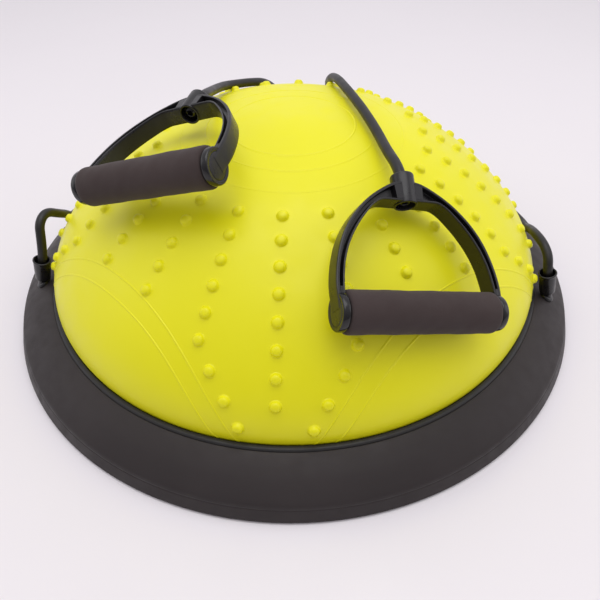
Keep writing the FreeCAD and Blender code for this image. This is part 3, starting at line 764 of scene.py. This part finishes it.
# name, place, side of the square and power in watts
LIGHTS = (
    ("overhead", (0.05, -0.05, 1.75), 1.5, 12.5),
    ("left_box", (-1.5, -0.05, 0.75), 0.9, 1.2),
    ("right_box", (1.5, -0.05, 0.75), 0.9, 1.8))
for light_name, light_at, light_size, watts in LIGHTS:
    area_light(light_name, light_at, LIGHT_AIM, light_size, watts)


# ---- materials ----------------------------------------------------------------------------
NOISE_LOW = 0.3             # the noise textures mostly stay between these two
NOISE_HIGH = 0.7
ROUGH_VARY = 0.08


def finish(name, base, rough, vary=0.08, patch=14.0, grain=1400.0, bump=0.05, depth=0.0002,
           sheen=0.0, specular=0.5):
    """Procedural finish: soft colour patches, uneven gloss and a fine moulded grain."""
    mat = bpy.data.materials.new(name)
    mat.use_nodes = True
    nodes = mat.node_tree.nodes
    links = mat.node_tree.links
    shader = nodes["Principled BSDF"]
    place = nodes.new("ShaderNodeTexCoord")
    patches = nodes.new("ShaderNodeTexNoise")
    patches.inputs["Scale"].default_value = patch
    patches.inputs["Detail"].default_value = 4.0
    links.new(place.outputs["Object"], patches.inputs["Vector"])
    colours = nodes.new("ShaderNodeValToRGB")
    colours.color_ramp.elements[0].position = NOISE_LOW
    colours.color_ramp.elements[1].position = NOISE_HIGH
    colours.color_ramp.elements[0].color = tuple(c * (1 - vary) for c in base) + (1,)
    colours.color_ramp.elements[1].color = tuple(min(1.0, c * (1 + vary)) for c in base) + (1,)
    links.new(patches.outputs["Fac"], colours.inputs["Fac"])
    links.new(colours.outputs["Color"], shader.inputs["Base Color"])
    wear = nodes.new("ShaderNodeTexNoise")
    wear.inputs["Scale"].default_value = patch * 6
    wear.inputs["Detail"].default_value = 5.0
    links.new(place.outputs["Object"], wear.inputs["Vector"])
    gloss = nodes.new("ShaderNodeMapRange")
    gloss.inputs["From Min"].default_value = NOISE_LOW
    gloss.inputs["From Max"].default_value = NOISE_HIGH
    gloss.inputs["To Min"].default_value = rough - ROUGH_VARY
    gloss.inputs["To Max"].default_value = rough + ROUGH_VARY
    links.new(wear.outputs["Fac"], gloss.inputs["Value"])
    links.new(gloss.outputs["Result"], shader.inputs["Roughness"])
    fine = nodes.new("ShaderNodeTexNoise")
    fine.inputs["Scale"].default_value = grain
    fine.inputs["Detail"].default_value = 2.0
    links.new(place.outputs["Object"], fine.inputs["Vector"])
    relief = nodes.new("ShaderNodeBump")
    relief.inputs["Strength"].default_value = bump
    relief.inputs["Distance"].default_value = depth
    links.new(fine.outputs["Fac"], relief.inputs["Height"])
    links.new(relief.outputs["Normal"], shader.inputs["Normal"])
    shader.inputs["Sheen Weight"].default_value = sheen
    shader.inputs["Specular IOR Level"].default_value = specular
    return mat


LIME = finish("lime_rubber", (0.84, 0.80, 0.003), 0.40, vary=0.012, patch=9, bump=0.05, grain=900,
              specular=0.4)
RING_GREY = finish("ring_grey", (0.032, 0.026, 0.026), 0.5, bump=0.25, grain=2600, depth=0.0001,
                   specular=0.25)
BLACK_RUBBER = finish("black_rubber", (0.010, 0.009, 0.009), 0.5, bump=0.15)
BAND_RUBBER = finish("band_rubber", (0.007, 0.006, 0.006), 0.45, bump=0.2, grain=1800)
BLACK_PLASTIC = finish("black_plastic", (0.007, 0.0062, 0.0075), 0.31, bump=0.2, grain=2400,
                       depth=0.0001)
GLOSS_BLACK = finish("gloss_black", (0.006, 0.0055, 0.006), 0.16, bump=0.03)
FOAM = finish("foam", (0.051, 0.036, 0.034), 0.85, bump=0.6, grain=1500, depth=0.0003, sheen=0.08,
              specular=0.25)
PLATE_PLASTIC = finish("plate_plastic", (0.035, 0.033, 0.036), 0.5, bump=0.3, grain=1800)
STEEL = finish("steel", (0.55, 0.55, 0.56), 0.32, vary=0.05, bump=0.1)
STEEL.node_tree.nodes["Principled BSDF"].inputs["Metallic"].default_value = 1.0
PALE_FLOOR = finish("pale_floor", (0.825, 0.79, 0.81), 0.55, vary=0.01, patch=1.5, bump=0.02,
                    grain=300)


def paint(obj, mat):
    """Give a piece one finish all over."""
    obj.data.materials.clear()
    obj.data.materials.append(mat)


def paint_node(name, mat):
    """Give a CAD node's material slots one finish."""
    node = frame["nodes"][name]
    for slot in node.material_slots:
        slot.link = "OBJECT"
        slot.material = mat


paint(floor, PALE_FLOOR)
for piece in (dome, nubs, lines):
    paint(piece, LIME)
paint(ring, RING_GREY)
paint(bead, BLACK_RUBBER)
for side in ROUTES:
    paint(bands[side], BAND_RUBBER)
    paint(cups[side], BLACK_PLASTIC)
    paint(frames[side], BLACK_PLASTIC)
    paint(rims[side], GLOSS_BLACK)
    paint(caps[side], BLACK_PLASTIC)
    paint(balls[side], GLOSS_BLACK)
    paint(foams[side], FOAM)
NODE_FINISHES = {
    "base_plate": PLATE_PLASTIC, "clamp_ring": PLATE_PLASTIC, "seal_ring": BLACK_RUBBER,
    "base_screws": STEEL, "rubber_feet": BLACK_RUBBER, "valve_grommet": BLACK_RUBBER,
    "valve_plug": BLACK_PLASTIC, "anchor_screws": STEEL, "band_stop_left": BLACK_PLASTIC,
    "band_stop_right": BLACK_PLASTIC}
for side in ROUTES:
    NODE_FINISHES["grip_axle_" + side] = BLACK_PLASTIC
    NODE_FINISHES["grip_core_" + side] = BLACK_PLASTIC
for name, mat in NODE_FINISHES.items():
    paint_node(name, mat)
